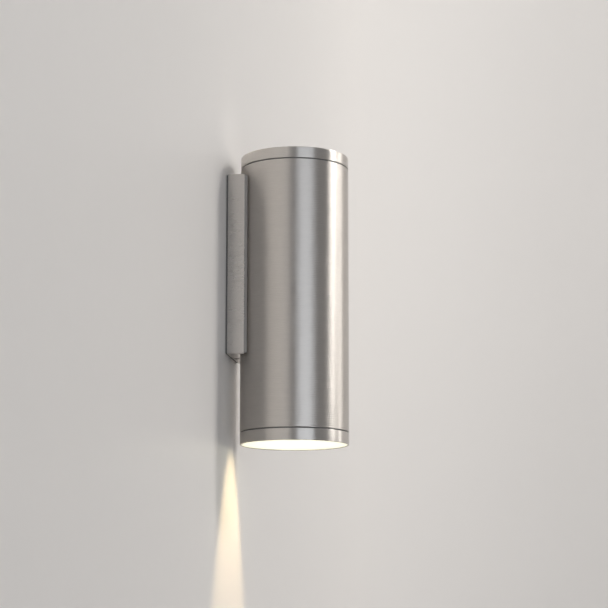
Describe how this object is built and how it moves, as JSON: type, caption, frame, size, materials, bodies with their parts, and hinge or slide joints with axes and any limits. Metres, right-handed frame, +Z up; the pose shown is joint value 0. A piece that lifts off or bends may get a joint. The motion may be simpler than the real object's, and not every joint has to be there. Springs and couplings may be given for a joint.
{
  "type": "tube wall light",
  "caption": "Brushed metal tube on a shallow rectangular wall box, with a blind cap and a frosted downlight lens in a screwed bezel ring.",
  "frame": {"origin": "centre of the wall box's back, on the wall plane, midway between the two wall screws", "axes": "+Z up along the tube, +Y into the wall, +X along the wall to the right as seen from the room"},
  "size_m": [0.06, 0.0654, 0.161],
  "materials": {
    "tube_brushed": "fine brushed nickel, strokes round the tube",
    "ring_brushed": "fine brushed nickel, turned",
    "box_brushed": "fine brushed nickel",
    "saddle_metal": "satin",
    "seal_rubber": "matt black",
    "lens_seal_silicone": "translucent white silicone",
    "sheet_steel": "zinc plated sheet",
    "fastener_steel": "zinc plated",
    "contact_brass": "plain brass",
    "block_nylon": "moulded nylon",
    "holder_ceramic": "unglazed steatite",
    "live_insulation": "brown silicone insulation",
    "neutral_insulation": "blue silicone insulation",
    "earth_insulation": "green and yellow insulation",
    "sleeve_fibre": "woven glass sleeve",
    "lamp_shell": "white lamp body",
    "lamp_base_plastic": "white moulded base",
    "lamp_pin_nickel": "nickel plated",
    "lamp_window_clear": "prismatic clear window",
    "led_board_white": "white solder mask on aluminium",
    "led_phosphor": "yellow phosphor",
    "driver_laminate": "green circuit laminate",
    "lens_frosted": "frosted, lit from behind"
  },
  "bodies": {
    "fixture": {"tube_body": "tube_brushed", "top_cap": "ring_brushed", "backplate_cover": "box_brushed", "saddle": "saddle_metal", "cap_seal": "seal_rubber", "bezel_seal": "seal_rubber", "wall_seal": "seal_rubber", "cable_grommet": "seal_rubber", "wall_bracket": "sheet_steel", "holder_bracket": "sheet_steel", "grub_screws": "fastener_steel", "saddle_screws": "fastener_steel", "saddle_nuts": "fastener_steel", "holder_screws": "fastener_steel", "holder_nuts": "fastener_steel", "earth_screw": "fastener_steel", "earth_nut": "fastener_steel", "block_screws": "fastener_steel", "terminal_screws": "fastener_steel", "terminal_connectors": "contact_brass", "holder_contacts": "contact_brass", "earth_tag": "contact_brass", "terminal_block": "block_nylon", "earth_plug": "block_nylon", "lamp_holder": "holder_ceramic", "live_wire": "live_insulation", "neutral_wire": "neutral_insulation", "earth_wire": "earth_insulation", "wire_sleeves": "sleeve_fibre"},
    "lens_pack": {"lens": "lens_frosted", "lens_seal": "lens_seal_silicone"},
    "bezel": {"bezel_ring": "ring_brushed"},
    "lamp": {"lamp_housing": "lamp_shell", "lamp_window": "lamp_window_clear", "led_board": "led_board_white", "led_chips": "led_phosphor", "lamp_base": "lamp_base_plastic", "driver_board": "driver_laminate", "lamp_pins": "lamp_pin_nickel"}
  },
  "joints": [
    {"name": "lens_drop", "type": "slide", "parent": "fixture", "child": "lens_pack", "axis": [0, 0, -1], "range_m": [0, 0.0025]},
    {"name": "bezel_turn", "type": "hinge", "parent": "lens_pack", "child": "bezel", "pos_m": [0, -0.0354, -0.0956], "axis": [0, 0, -1], "range_deg": [0, 900]},
    {"name": "lamp_twist", "type": "hinge", "parent": "fixture", "child": "lamp", "pos_m": [0, -0.0354, -0.0446], "axis": [0, 0, -1], "range_deg": [0, 40]}
  ],
  "couplings": [
    {"joint": "bezel_turn", "follows": "lens_drop", "rad_per_m": 6283.2}
  ]
}
